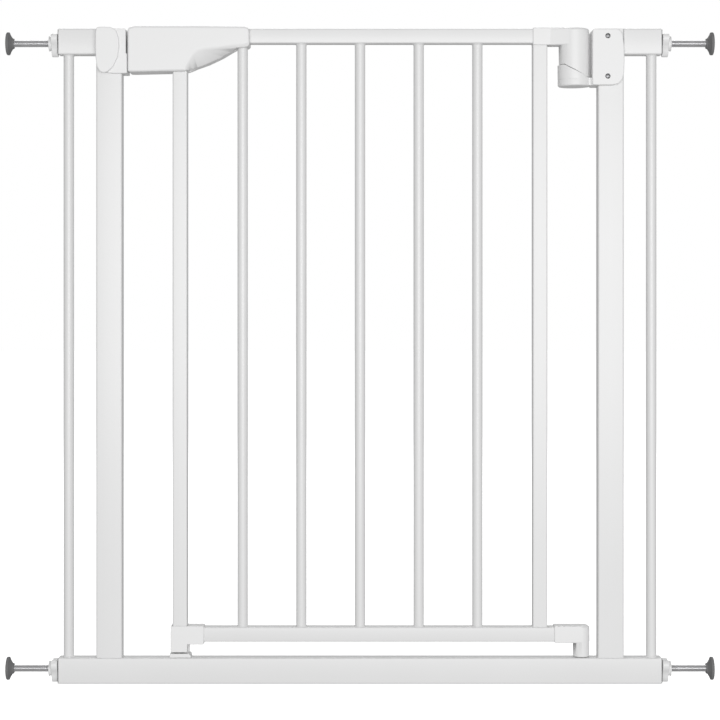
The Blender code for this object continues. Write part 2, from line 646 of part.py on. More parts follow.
def corner_cap():
    """The cap round the door's free lower corner, with the leg that meets the bottom catch."""
    left, right = -STILE_OUT - 0.0022, -STILE_OUT + 0.0364
    leg_right = left + 0.0194
    leg_foot = DOOR_LIFT - 0.0119
    under = DOOR_LIFT - 0.0028
    over = DOOR_TOP + 0.0015
    outline = [
        (left, leg_foot), (leg_right, leg_foot), (leg_right, under), (right, under), (right, over), (left, over)]
    half = HALF_DOOR_TUBE + 0.0017
    cap = soften(slab("corner_cap", outline, (0, 0, 0), "Y", -half, half), 0.0009)
    behind_leg = block("behind_leg", (left - 0.010, 0.0035, 0), (right + 0.010, 0.030, under))
    cut(
        cap, behind_leg, rail_space("rail_space", -STILE_OUT - FIT, right + 0.010, DOOR_RAIL_Z),
        stile_space("stile_space", DOOR_TOP - 0.005, DOOR_TOP + 0.010))
    return finished(cap, PLASTIC)


# ---- handle ----
SHELL_WALL = 0.0024
BOSSES = [(LATCH.x + 0.0132, TOP - 0.0165), (LATCH.x + 0.0490, TOP - 0.0165)]
SLOT_LOW_X, SLOT_HIGH_X = LATCH.x + 0.012, LATCH.x + 0.0505  # where the thumb slider runs


def grip(*points):
    """Places on the handle in mm from the latch, where what lies past the stile follows the first bar."""
    stretch = (BAR_XS[0] - LATCH.x - GRIP_START * MM) / GRIP_TO_BAR
    return [(x if x < GRIP_START else GRIP_START + (x - GRIP_START) * stretch, z) for x, z in points]


def handle_body(name):
    """The handle's whole outer form, a long grip that narrows to the right under a flat top."""
    outline = grip(
        (7.1, -50.8), (7.1, -2.5), (9.0, 0.2), (15.0, 1.9), (91.0, 1.9), (143.0, 1.2), (147.8, -0.5),
        (148.0, -19.0), (146.5, -21.4), (133.0, -22.6), (127.8, -25.3), (116.2, -32.3), (100.0, -40.0), (87.2, -44.5),
        (78.0, -48.3), (73.0, -49.7), (14.0, -51.0))
    return soften(slab(name, mm(*outline), LATCH, "Y", -HANDLE_HALF, HANDLE_HALF), 0.0026, 3)


def finger_scoop():
    """A cutter for the front's finger scoop: a skin through sections that follow the grip's lower edge."""
    lip = grip((70.0, -56), (72.2, -49), (75.7, -38), (80.3, -30), (87.2, -23), (96.5, -21.4), (116.0, -19.7),
           (136.0, -17.6), (147.5, -16.5), (156.0, -15.8))
    chamfer = grip((74.0, -56), (76.2, -48.2), (79.1, -39.5), (83.8, -32), (89.0, -28), (94.2, -26.5), (108.1, -25.0),
               (129.5, -23.4), (148.0, -21.2), (156.0, -20.4))
    back = grip((76.5, -56), (78.0, -48.3), (83.0, -46.6), (87.2, -44.5), (100.0, -40.0), (116.2, -32.3),
            (124.0, -27.6), (131.5, -23.0), (148.0, -21.2), (156.0, -20.6))
    depths = [-9.6, -9.6, -9.0, -8.0, -7.0, -7.0, -8.0, -10.0, -12.0, -12.6]
    face = -HANDLE_HALF / MM
    bm = bmesh.new()
    rings = []
    for (lip_x, lip_z), (low_x, low_z), (back_x, back_z), depth in zip(lip, chamfer, back, depths):
        over_x, over_z = lip_x + (lip_x - low_x) * 0.25, lip_z + (lip_z - low_z) * 0.25
        out_x, out_z = back_x + 9.0, back_z - 12.0
        corners = [
            (over_x, face - 0.6, over_z), (over_x, -34, over_z), (out_x, -34, out_z), (out_x, depth, out_z),
            (back_x + 0.15, depth, back_z - 0.2), (low_x, face + 2.6, low_z)]
        rings.append([bm.verts.new(LATCH + Vector(corner) * MM) for corner in corners])
    for ring, following in zip(rings, rings[1:]):
        for k in range(6):
            bm.faces.new((ring[k], ring[(k + 1) % 6], following[(k + 1) % 6], following[k]))
    bm.faces.new(rings[0])
    bm.faces.new(rings[-1])
    bmesh.ops.recalc_face_normals(bm, faces=bm.faces)
    return made("finger_scoop", mesh_of("finger_scoop", bm))


def handle_shell(name, sign):
    """Half the handle, split on the door's middle plane and hollowed for the door's tubes and the bolt."""
    shell = handle_body(name)
    near, far = sorted((sign * -0.030, sign * 0.00015))
    other_half = block("other_half", (LATCH.x - 0.010, near, TOP - 0.070), (BAR_XS[0] + 0.030, far, TOP + 0.020))
    near, far = sorted((sign * (HANDLE_HALF - SHELL_WALL), sign * -0.002))
    chamber = block(
        "chamber", (LATCH.x + 0.0096, near, TOP - 0.0484), (-STILE_OUT + 0.0002, far, TOP - 0.0032))
    bar_space = cylinder("bar_space", BAR_DIAMETER / 2 + FIT, (BAR_XS[0], 0, TOP - 0.050), 0.034, "Z", 40)
    mouth = block(
        "bolt_mouth", (LATCH.x - 0.010, -BOLT_DEPTH / 2 - 0.0005, BOLT_Z - BOLT_HEIGHT / 2 - 0.0005),
        (LATCH.x + 0.012, BOLT_DEPTH / 2 + 0.0005, BOLT_Z + BOLT_HEIGHT / 2 + 0.0005))
    slider_space = block(
        "slider_space", (SLOT_LOW_X, -0.0090, TOP - 0.0008), (SLOT_HIGH_X, 0.0090, TOP + 0.010))
    stem_space = block(
        "stem_space", (LATCH.x + 0.0178, -0.0034, TOP - 0.010), (LATCH.x + 0.0392, 0.0034, TOP + 0.010))
    cut(
        shell, other_half, chamber, stile_space("stile_space", TOP - 0.070, TOP - DOOR_TUBE + 0.001),
        rail_space("rail_space", -STILE_OUT - FIT, BAR_XS[0] + 0.020, TOP_RAIL_Z), bar_space, mouth, slider_space,
        stem_space)
    return shell


def handle_front_shell():
    shell = handle_shell("handle_front_shell", -1)
    cut(shell, finger_scoop())
    for x, z in BOSSES:
        joined(shell, cylinder("boss", 0.0030, (x, -0.0170, z), 0.0165, "Y", 24))
        cut(shell, cylinder("pilot", 0.0014, (x, 0.002, z), 0.0120, "-Y", 20))
    return finished(shell, PLASTIC)


def handle_back_shell():
    shell = handle_shell("handle_back_shell", 1)
    for x, z in BOSSES:
        joined(shell, cylinder("boss", 0.0034, (x, 0.0170, z), 0.0165, "-Y", 24))
        cut(
            shell, cylinder("screw_hole", 0.0018, (x, -0.002, z), 0.030, "Y", 20),
            cylinder("head_hole", 0.0029, (x, 0.0120, z), 0.020, "Y", 28))
    return finished(shell, PLASTIC)


def handle_screw(number, x, z):
    head, shank = 0.0026, 0.0012
    profile = [
        (0, 0.0140), (head - 0.0004, 0.0140), (head, 0.0136), (head, 0.0123), (shank, 0.0123), (shank, -0.0062),
        (shank - 0.0006, -0.0070), (0, -0.0070)]
    return finished(turned(f"handle_screw_{number}", profile, (x, 0, z), ALONG["Y"], 16), STEEL)


# ---- slide bolt ----
BOLT_NOSE = LATCH.x + 0.0073
BOLT_TAIL = LATCH.x + 0.0400


def latch_bolt():
    half_depth, half_height = BOLT_DEPTH / 2, BOLT_HEIGHT / 2
    bolt = block(
        "latch_bolt", (BOLT_NOSE, -half_depth, BOLT_Z - half_height), (BOLT_TAIL, half_depth, BOLT_Z + half_height))
    soften(bolt, 0.0012)
    slot = block(
        "stem_slot", (BOLT_NOSE + 0.0217, -0.0033, BOLT_Z), (BOLT_NOSE + 0.0303, 0.0033, BOLT_Z + 0.010))
    return finished(cut(bolt, slot), SLIDING_PLASTIC)


def thumb_slider():
    """The ribbed slider on the handle's top, with the stem that draws the bolt."""
    outline = mm((23.5, -0.5), (49.0, -0.5), (49.0, 1.0), (48.0, 1.9), (24.5, 1.9), (23.5, 1.0))
    slider = soften(slab("thumb_slider", outline, LATCH, "Y", -0.0080, 0.0080), 0.0004)
    stem = block(
        "stem", (BOLT_NOSE + 0.0220, -0.0030, BOLT_Z + 0.0003), (BOLT_NOSE + 0.0300, 0.0030, TOP + 0.0010))
    joined(slider, stem)
    for k in range(5):
        left = LATCH.x + 0.0287 + k * 0.0036
        cut(slider, block("groove", (left, -0.0064, TOP + 0.0012), (left + 0.0014, 0.0064, TOP + 0.004)))
    return finished(slider, PLASTIC)


def release_spring():
    """A coil between the bolt's tail and the stile."""
    start, end = BOLT_TAIL + 0.0008, -STILE_OUT - 0.0010
    radius, per_turn = 0.0034, 11
    points = SPRING_TURNS * per_turn
    coil = bpy.data.curves.new("release_spring", "CURVE")
    coil.dimensions = "3D"
    coil.bevel_depth = 0.0005
    coil.bevel_resolution = 2
    coil.use_fill_caps = True
    line = coil.splines.new("POLY")
    line.points.add(points)
    for k, point in enumerate(line.points):
        angle = 2 * math.pi * k / per_turn
        along = (end - start) * k / points
        point.co = (along, radius * math.cos(angle), radius * math.sin(angle), 1)
    return finished(made("release_spring", coil, (start, 0, BOLT_Z)), STEEL)


# ---- the gate ----
bottom_rail()
for side, sign in SIDES.items():
    post(side, sign)
    top_stub(side, sign)
    post_plug(side, sign)
    round_bar(f"{side}_outer_bar", sign * (END_X - OUTER_BAR_INSET), RAIL_TOP + JOINT, TOP - TUBE_WIDTH - JOINT)
    for level in SPINDLE_Z:
        end_plug(side, sign, level)
        axis = (sign * END_X, 0, SPINDLE_Z[level])
        hang([hand_nut(side, sign, level)], f"{side}_{level}_nut_axis", axis)
        hang([spindle(side, sign, level), wall_pad(side, sign, level)], f"{side}_{level}_screw_axis", axis)

latch_housing()
latch_cap("front", -1)
latch_cap("back", 1)
hinge_bracket()
for label, (x, z) in HINGE_SCREWS.items():
    hinge_screw(label, x, z)
hinge_pins_and_sleeves()
bottom_catch()
catch_screw()

door = door_tubes()
door += [hinge_arm(), lower_hinge_elbow(), corner_cap(), handle_front_shell(), handle_back_shell()]
door += [handle_screw(number, x, z) for number, (x, z) in enumerate(BOSSES, 1)]
door_axis = hang(door, "swing_axis", HINGE_LOW, TILT)
hang([thumb_slider(), latch_bolt(), release_spring()], "bolt_axis", (BOLT_NOSE, 0, BOLT_Z), parent=door_axis)
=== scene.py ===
"""A pressure-fitted safety gate: its visible pieces, finishes and studio."""

import json
import math

import bmesh
import bpy
from mathutils import Matrix, Vector

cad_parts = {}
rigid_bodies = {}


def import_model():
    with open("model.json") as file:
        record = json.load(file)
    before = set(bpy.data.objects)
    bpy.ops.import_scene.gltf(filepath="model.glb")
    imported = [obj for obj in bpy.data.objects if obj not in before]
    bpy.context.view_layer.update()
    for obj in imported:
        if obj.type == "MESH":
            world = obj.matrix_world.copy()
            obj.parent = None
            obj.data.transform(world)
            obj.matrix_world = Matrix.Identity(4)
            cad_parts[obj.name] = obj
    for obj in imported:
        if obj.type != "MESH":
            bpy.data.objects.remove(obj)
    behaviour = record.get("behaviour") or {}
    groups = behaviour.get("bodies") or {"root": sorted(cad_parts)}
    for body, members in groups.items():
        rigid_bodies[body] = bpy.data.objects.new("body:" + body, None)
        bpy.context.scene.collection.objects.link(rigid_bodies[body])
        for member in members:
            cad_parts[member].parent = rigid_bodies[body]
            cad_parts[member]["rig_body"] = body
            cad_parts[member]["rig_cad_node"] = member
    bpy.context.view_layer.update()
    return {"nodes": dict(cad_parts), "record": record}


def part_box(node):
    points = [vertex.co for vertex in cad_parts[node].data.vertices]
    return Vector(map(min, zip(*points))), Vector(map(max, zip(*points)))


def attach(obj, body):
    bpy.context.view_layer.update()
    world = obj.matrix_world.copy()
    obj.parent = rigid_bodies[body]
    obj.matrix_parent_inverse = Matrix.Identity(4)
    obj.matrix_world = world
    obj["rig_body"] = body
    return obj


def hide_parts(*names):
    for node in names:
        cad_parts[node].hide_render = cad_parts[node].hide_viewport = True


bl_info = {
    "name": "Safety Gate",
    "version": (1, 0, 0),
    "blender": (4, 5, 0),
    "location": "3D View > Sidebar > Gate",
    "description": "Models a safety gate's tubes, spindles, hinge, latch and handle, with their finishes",
    "category": "Object",
}

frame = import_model()
BODY = {node: body for body, nodes in frame["record"]["behaviour"]["bodies"].items() for node in nodes}
SIDES = (("left", -1), ("right", 1))
LEVELS = ("low", "top")
SPINDLES = [(side, sign, level) for side, sign in SIDES for level in LEVELS]
BARS = [f"door_bar_{k}" for k in range(1, 6)]


def middle(node):
    low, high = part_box(node)
    return (low + high) / 2


def width(node, axis):
    low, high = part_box(node)
    return (high - low)[axis]


# ---------------------------------------------------------------- settings
class GateSizes(bpy.types.PropertyGroup):
    """Sizes of what the frame leaves to the maker."""

    tube_corner: bpy.props.FloatProperty(
        name="Frame tube corner", description="Outer corner radius of the frame's tubes",
        default=0.0020, min=0.0005, unit="LENGTH")
    door_corner: bpy.props.FloatProperty(
        name="Door tube corner", description="Outer corner radius of the door's tubes",
        default=0.0018, min=0.0005, unit="LENGTH")
    wall: bpy.props.FloatProperty(
        name="Tube wall", description="Thickness of the steel in every tube",
        default=0.0012, min=0.0005, unit="LENGTH")
    bead: bpy.props.FloatProperty(
        name="Weld bead", description="Radius of the bead round a welded joint",
        default=0.0009, min=0.0002, unit="LENGTH")
    pitch: bpy.props.FloatProperty(
        name="Thread pitch", description="Spindle's travel for one turn of its hand nut",
        default=0.00125, min=0.0005, unit="LENGTH")
    thread_depth: bpy.props.FloatProperty(
        name="Thread depth", description="Height of the spindle's thread",
        default=0.0004, min=0.0001, unit="LENGTH")
    joint: bpy.props.FloatProperty(
        name="Joint", description="How far a tube reaches past its node to touch its neighbour",
        default=0.0003, min=0.0, unit="LENGTH")


class GateColours(bpy.types.PropertyGroup):
    """Colours of the finishes."""

    paint: bpy.props.FloatVectorProperty(
        name="Paint", description="Powder coat on the tubes", subtype="COLOR", default=(0.81, 0.81, 0.81))
    plastic: bpy.props.FloatVectorProperty(
        name="Plastic", description="White mouldings", subtype="COLOR", default=(0.86, 0.86, 0.86))
    # Near-black painted shade: the plugs are darkened to stand in for the shadow gap between each hand nut
    # and its tube end.
    plug: bpy.props.FloatVectorProperty(
        name="Plug", description="Grey plugs in the tube ends", subtype="COLOR", default=(0.13, 0.13, 0.13))
    pad: bpy.props.FloatVectorProperty(
        name="Pad", description="Rubber wall pads", subtype="COLOR", default=(0.17, 0.17, 0.172))
    steel: bpy.props.FloatVectorProperty(
        name="Steel", description="Zinc-plated spindles", subtype="COLOR", default=(0.70, 0.70, 0.71))
    screw: bpy.props.FloatVectorProperty(
        name="Screws", description="Duller plated screws and pins", subtype="COLOR",
        default=(0.21, 0.21, 0.215))
    floor: bpy.props.FloatVectorProperty(
        name="Floor", description="Studio floor", subtype="COLOR", default=(0.93, 0.93, 0.93))


# ---------------------------------------------------------------- shader maths
class Sum:
    """A shader value that Python's operators work on, each adding a Math node."""

    def __init__(self, finish, socket):
        self.finish = finish
        self.socket = socket

    def math(self, operation, *values):
        node = self.finish.node("ShaderNodeMath", {"operation": operation}, *values)
        return Sum(self.finish, node.outputs[0])

    def __add__(self, other):
        return self.math("ADD", self, other)

    def __radd__(self, other):
        return self.math("ADD", other, self)

    def __mul__(self, other):
        return self.math("MULTIPLY", self, other)

    def __rmul__(self, other):
        return self.math("MULTIPLY", other, self)


class Finish:
    """A node material built round one Principled shader."""

    def __init__(self, name):
        self.material = bpy.data.materials.new(name)
        self.material.use_nodes = True
        self.tree = self.material.node_tree
        self.shader = self.tree.nodes["Principled BSDF"]
        self.place = self.node("ShaderNodeTexCoord").outputs["Object"]

    def node(self, kind, settings=None, *values, **named):
        """Adds a node, sets it, then gives its sockets, by order or by name, a value or a link."""
        node = self.tree.nodes.new(kind)
        for key, value in (settings or {}).items():
            setattr(node, key, value)
        pairs = list(zip(node.inputs, values))
        pairs += [(node.inputs[key.replace("_", " ")], value) for key, value in named.items()]
        for socket, value in pairs:
            self.put(socket, value)
        return node

    def put(self, socket, value):
        if isinstance(value, Sum):
            value = value.socket
        if isinstance(value, bpy.types.NodeSocket):
            self.tree.links.new(value, socket)
        else:
            socket.default_value = value

    def noise(self, scale, detail=2.0, roughness=0.5, place=None):
        node = self.node(
            "ShaderNodeTexNoise", {"noise_dimensions": "3D"},
            Vector=place or self.place, Scale=scale, Detail=detail, Roughness=roughness)
        return Sum(self, node.outputs["Fac"])

    def stretched(self, scale):
        """Object coordinates scaled along each axis, for brushed and drawn grain."""
        return self.node("ShaderNodeMapping", {}, Vector=self.place, Scale=scale).outputs[0]

    def blend(self, mask, low, high):
        node = self.node("ShaderNodeMix", {"data_type": "RGBA"})
        self.put(node.inputs["Factor"], mask)
        self.put(node.inputs[6], low)
        self.put(node.inputs[7], high)
        return node.outputs[2]

    def bump(self, height, strength, distance):
        node = self.node("ShaderNodeBump", {}, Strength=strength, Distance=distance, Height=height)
        self.put(self.shader.inputs["Normal"], node.outputs[0])

    def set(self, **values):
        for key, value in values.items():
            self.put(self.shader.inputs[key.replace("_", " ")], value)
        return self


def tone(colour, factor=1.0):
    return (*[min(c * factor, 1.0) for c in colour], 1.0)


def powder_coat(colour):
    """Satin powder coat: a faint orange peel, a little thinner and duller in patches."""
    finish = Finish("powder_coat")
    patches = finish.noise(9.0, 3.0)
    peel = finish.noise(850.0, 2.0, 0.45)
    speck = finish.noise(3200.0, 1.0)
    finish.set(
        Base_Color=finish.blend(patches, tone(colour, 0.975), tone(colour, 1.02)),
        Roughness=0.30 + 0.10 * patches + 0.05 * speck,
        Coat_Weight=0.12, Coat_Roughness=0.18)
    finish.bump(peel * 0.8 + speck * 0.2, 0.16, 0.00012)
    return finish.material


def moulding(name, colour, gloss=0.34, grain=0.10):
    """Injection-moulded plastic: a fine spark grain and soft variation in its gloss."""
    finish = Finish(name)
    flow = finish.noise(14.0, 3.0, 0.55)
    spark = finish.noise(4200.0, 2.0, 0.6)
    finish.set(
        Base_Color=finish.blend(flow, tone(colour, 0.985), tone(colour, 1.015)),
        Roughness=gloss + 0.07 * flow + 0.06 * spark,
        IOR=1.49)
    finish.bump(spark, grain, 0.00008)
    return finish.material


def rubber(colour):
    """Matt rubber with a dry bloom."""
    finish = Finish("pad_rubber")
    bloom = finish.noise(60.0, 4.0, 0.65)
    grain = finish.noise(2600.0, 3.0, 0.7)
    finish.set(
        Base_Color=finish.blend(bloom, tone(colour, 0.86), tone(colour, 1.2)),
        Roughness=0.62 + 0.18 * bloom,
        Specular_IOR_Level=0.35)
    finish.bump(grain, 0.30, 0.00012)
    return finish.material


def zinc(name, colour, along=(40.0, 900.0, 900.0)):
    """Zinc-plated steel with drawn grain and faint clouding."""
    finish = Finish(name)
    cloud = finish.noise(120.0, 4.0, 0.6)
    drawn = finish.noise(1.0, 3.0, 0.6, finish.stretched(along))
    finish.set(
        Base_Color=finish.blend(cloud, tone(colour, 0.88), tone(colour, 1.10)),
        Metallic=1.0,
        Roughness=0.26 + 0.12 * cloud + 0.08 * drawn)
    finish.bump(drawn, 0.12, 0.00008)
    return finish.material


def studio_floor(colour):
    finish = Finish("studio_floor")
    finish.set(
        Base_Color=finish.blend(finish.noise(1.5, 2.0), tone(colour, 0.995), tone(colour, 1.005)),
        Roughness=0.75, Emission_Color=tone(colour), Emission_Strength=0.74)
    return finish.material


def studio_world():
    """A white surround to look at, with a dimmer one that lights the gate."""
    world = bpy.data.worlds.new("studio")
    world.use_nodes = True
    tree = world.node_tree
    fill = tree.nodes["Background"]
    fill.inputs["Color"].default_value = (1.0, 1.0, 1.0, 1.0)
    fill.inputs["Strength"].default_value = 0.40
    seen = tree.nodes.new("ShaderNodeBackground")
    seen.inputs["Color"].default_value = (1.0, 1.0, 1.0, 1.0)
    mix = tree.nodes.new("ShaderNodeMixShader")
    tree.links.new(tree.nodes.new("ShaderNodeLightPath").outputs["Is Camera Ray"], mix.inputs[0])
    tree.links.new(fill.outputs[0], mix.inputs[1])
    tree.links.new(seen.outputs[0], mix.inputs[2])
    tree.links.new(mix.outputs[0], tree.nodes["World Output"].inputs["Surface"])
    return world


FINISHES = {}


def finish_of(slot):
    """The material for one of the record's slots, made once."""
    colours = bpy.context.scene.gate_colours
    makers = {
        "painted_tube": lambda: powder_coat(colours.paint),
        "white_plastic": lambda: moulding("white_plastic", colours.plastic),
        # dark_plastic takes the near-black plug colour, which is painted shade for the shadow gap between
        # hand nut and tube end.
        "dark_plastic": lambda: moulding("dark_plastic", colours.plug, 0.5, 0.16),
        "pad_rubber": lambda: rubber(colours.pad),
        "spindle_steel": lambda: zinc("spindle_steel", colours.steel),
        "pin_steel": lambda: zinc("pin_steel", colours.screw, (500.0, 500.0, 500.0)),
        "sleeve_plastic": lambda: moulding("sleeve_plastic", colours.plastic, 0.45, 0.06),
        "bolt_plastic": lambda: moulding("bolt_plastic", colours.plastic, 0.42, 0.06),
    }
    if slot not in FINISHES:
        FINISHES[slot] = makers[slot]()
    return FINISHES[slot]


SLOT = {part["node"]: part["material_slot"] for part in frame["record"]["subparts"]}


# ---------------------------------------------------------------- modelling
def deselect():
    if bpy.context.object and bpy.context.object.mode != "OBJECT":
        bpy.ops.object.mode_set(mode="OBJECT")
    bpy.ops.object.select_all(action="DESELECT")


def only(piece):
    deselect()
    piece.select_set(True)
    bpy.context.view_layer.objects.active = piece
    return piece


def named(name):
    piece = bpy.context.object
    piece.name = name
    piece.data.name = name
    return piece


def settle(piece):
    """Leaves the piece at the origin, unturned and unscaled, its place in its mesh."""
    only(piece)
    bpy.ops.object.transform_apply(location=True, rotation=True, scale=True)
    return piece


def block(name, low, high):
    deselect()
    low, high = Vector(low), Vector(high)
    bpy.ops.mesh.primitive_cube_add(size=1.0, location=(low + high) / 2)
    piece = named(name)
    piece.scale = high - low
    return settle(piece)


def pick(piece, kind, test):
    """In edit mode, selects the verts, edges or faces that pass the test, and nothing else."""
    only(piece)
    bpy.ops.object.mode_set(mode="EDIT")
    bpy.ops.mesh.select_mode(type={"verts": "VERT", "edges": "EDGE", "faces": "FACE"}[kind])
    bpy.ops.mesh.select_all(action="DESELECT")
    mesh = bmesh.from_edit_mesh(piece.data)
    for element in getattr(mesh, kind):
        element.select_set(bool(test(element)))
    mesh.select_flush_mode()
    bmesh.update_edit_mesh(piece.data)


def object_mode():
    bpy.ops.object.mode_set(mode="OBJECT")


def modify(piece, kind, **settings):
    """Adds a modifier and applies it."""
    only(piece)
    modifier = piece.modifiers.new(kind.title(), kind)
    for key, value in settings.items():
        setattr(modifier, key, value)
    bpy.ops.object.modifier_apply(modifier=modifier.name)
    return piece


def boolean(piece, operation, *others):
    for other in others:
        modify(piece, "BOOLEAN", operation=operation, object=other)
        bpy.data.objects.remove(other, do_unlink=True)
    return piece


def smooth(piece, degrees=35.0):
    only(piece)
    bpy.ops.object.shade_smooth_by_angle(angle=math.radians(degrees))
    return piece


def crisp(piece, degrees=40.0):
    """Smooth shading that keeps flat faces flat beside their rounded edges."""
    smooth(piece, degrees)
    return modify(piece, "WEIGHTED_NORMAL", keep_sharp=True, weight=100)


def outward(piece):
    pick(piece, "faces", lambda face: True)
    bpy.ops.mesh.remove_doubles(threshold=1e-6)
    bpy.ops.mesh.normals_make_consistent(inside=False)
    object_mode()
    return piece


def rod(name, start, end, radius, sides=48, ends="NGON"):
    deselect()
    start, end = Vector(start), Vector(end)
    turn = (end - start).to_track_quat("Z", "Y").to_euler()
    bpy.ops.mesh.primitive_cylinder_add(
        vertices=sides, radius=radius, depth=(end - start).length,
        location=(start + end) / 2, rotation=turn, end_fill_type=ends)
    return settle(named(name))


def turned(name, profile, origin, direction, sides=64):
    """Spins a chain of (radius, height) about a line from origin, where a radius of 0 is on the axis."""
    deselect()
    bpy.ops.mesh.primitive_plane_add(size=0.01)
    piece = named(name)
    bpy.ops.object.mode_set(mode="EDIT")
    bpy.ops.mesh.select_mode(type="VERT")
    bpy.ops.mesh.select_all(action="SELECT")
    bpy.ops.mesh.merge(type="CENTER")
    last = Vector((0, 0, 0))
    for k, (radius, height) in enumerate(profile):
        step = Vector((radius, 0, height)) - last
        last = Vector((radius, 0, height))
        if k == 0:
            bpy.ops.transform.translate(value=step)
        else:
            bpy.ops.mesh.extrude_region_move(TRANSFORM_OT_translate={"value": step})
    bpy.ops.mesh.select_all(action="SELECT")
    bpy.ops.mesh.spin(steps=sides, angle=2 * math.pi, center=(0, 0, 0), axis=(0, 0, 1))
    object_mode()
    turn = Vector(direction).to_track_quat("Z", "Y").to_matrix().to_4x4()
    piece.matrix_world = Matrix.Translation(origin) @ turn
    settle(piece)
    return outward(piece)


def moulded(node):
    """A finer piece from a CAD node: its triangles merged and shaded as one surface."""
    deselect()
    piece = frame["nodes"][node].copy()
    piece.data = piece.data.copy()
    piece.parent = None
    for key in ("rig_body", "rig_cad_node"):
        if key in piece:
            del piece[key]
    bpy.context.scene.collection.objects.link(piece)
    piece.name = node + "_piece"
    piece.data.name = piece.name
    pick(piece, "faces", lambda face: True)
    bpy.ops.mesh.remove_doubles(threshold=1e-6)
    bpy.ops.mesh.dissolve_limited(angle_limit=math.radians(0.4))
    object_mode()
    return crisp(piece)


def extra(piece, node):
    """Gives a piece the finish and the body of the node that it belongs to."""
    piece.data.materials.clear()
    piece.data.materials.append(finish_of(SLOT[node]))
    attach(piece, BODY[node])
    return piece


def dress(piece, node):
    """Gives a piece its node's finish and body, and lets it stand for the node."""
    extra(piece, node)
    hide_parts(node)
    return piece


# ---------------------------------------------------------------- tubes
def square_tube(node, corner, wall, reach, holes=()):
    """A hollow tube along its node's longest side, its long edges rounded, its ends open."""
    low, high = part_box(node)
    along = max(range(3), key=lambda axis: (high - low)[axis])
    low[along] -= reach
    high[along] += reach
    piece = block(node + "_piece", low, high)
    pick(piece, "faces", lambda face: abs(face.normal[along]) > 0.9)
    bpy.ops.mesh.delete(type="ONLY_FACE")
    object_mode()
    pick(piece, "edges", lambda edge: abs((edge.verts[0].co - edge.verts[1].co).normalized()[along]) > 0.9)
    bpy.ops.mesh.bevel(offset=corner, segments=6, profile=0.5, affect="EDGES")
    object_mode()
    modify(piece, "SOLIDIFY", thickness=wall, offset=-1.0, use_even_offset=True)
    boolean(piece, "DIFFERENCE", *holes)
    smooth(piece, 32)
    return dress(piece, node)


class GATE_OT_tubes(bpy.types.Operator):
    """Makes the frame's and the door's square tubes"""

    bl_idname = "gate.tubes"
    bl_label = "Square tubes"

    def execute(self, context):
        sizes = context.scene.gate_sizes
        square_tube("bottom_rail", sizes.tube_corner, sizes.wall, sizes.joint)
        for side, sign in SIDES:
            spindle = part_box(f"{side}_top_spindle")
            middle_z = (spindle[0].z + spindle[1].z) / 2
            x = middle(f"{side}_post").x
            holes = [rod("hole", (x, 0, middle_z), (x + sign * 0.03, 0, middle_z), 0.0050, 32)]
            if side == "left":
                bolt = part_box("latch_bolt")
                holes.append(block(
                    "window", (x, -0.006, bolt[0].z - 0.001), (x + 0.03, 0.006, bolt[1].z + 0.001)))
            square_tube(f"{side}_post", sizes.tube_corner, sizes.wall, sizes.joint, holes)
            square_tube(f"{side}_top_stub", sizes.tube_corner, sizes.wall, sizes.joint)
        for node in ("door_top_rail", "door_bottom_rail", "door_left_stile", "door_right_stile"):
            square_tube(node, sizes.door_corner, sizes.wall, sizes.joint)
        return {"FINISHED"}


class GATE_OT_bars(bpy.types.Operator):
    """Makes the round bars"""

    bl_idname = "gate.bars"
    bl_label = "Round bars"

    def execute(self, context):
        sizes = context.scene.gate_sizes
        for node in [*BARS, "left_outer_bar", "right_outer_bar"]:
            low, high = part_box(node)
            centre = middle(node)
            radius = (high.x - low.x) / 2
            piece = rod(
                node + "_piece", (centre.x, centre.y, low.z - sizes.joint),
                (centre.x, centre.y, high.z + sizes.joint), radius, 56, "NOTHING")
            modify(piece, "SOLIDIFY", thickness=sizes.wall, offset=-1.0)
            dress(smooth(piece), node)
        return {"FINISHED"}


def ring_bead(name, centre, radius, bead):
    """A weld bead round a bar, where it meets a flat tube."""
    deselect()
    bpy.ops.mesh.primitive_torus_add(
        location=centre, major_radius=radius, minor_radius=bead, major_segments=40, minor_segments=10)
    piece = settle(named(name))
    for vertex in piece.data.vertices:
        offset = vertex.co - Vector(centre)
        around = math.atan2(offset.y, offset.x)
        offset.z *= 1.0 + 0.12 * math.sin(9 * around) + 0.08 * math.sin(23 * around)
        vertex.co = Vector(centre) + offset
    return smooth(piece, 60)


def seam_bead(name, corners, bead):
    """A weld bead along a closed run of corners, where two square tubes meet."""
    curve = bpy.data.curves.new(name, "CURVE")
    curve.dimensions = "3D"
    curve.bevel_depth = bead
    curve.bevel_resolution = 2
    line = curve.splines.new("POLY")
    line.points.add(len(corners) - 1)
    for point, corner in zip(line.points, corners):
        point.co = (*corner, 1.0)
    line.use_cyclic_u = True
    ob = bpy.data.objects.new(name, curve)
    bpy.context.scene.collection.objects.link(ob)
    only(ob)
    bpy.ops.object.convert(target="MESH")
    return smooth(settle(named(name)), 60)


def rounded_run(centre, across, depth, corner, axis, steps=4):
    """The outline of a square tube's end, as points in the plane that the axis crosses."""
    points = []
    for sx, sy, start in ((1, 1, 0), (-1, 1, 90), (-1, -1, 180), (1, -1, 270)):
        for k in range(steps + 1):
            angle = math.radians(start + 90 * k / steps)
            u = sx * (across / 2 - corner) + corner * math.cos(angle)
            v = sy * (depth / 2 - corner) + corner * math.sin(angle)
            offset = Vector((u, v, 0)) if axis == "Z" else Vector((0, v, u))
            points.append(Vector(centre) + offset)
    return points


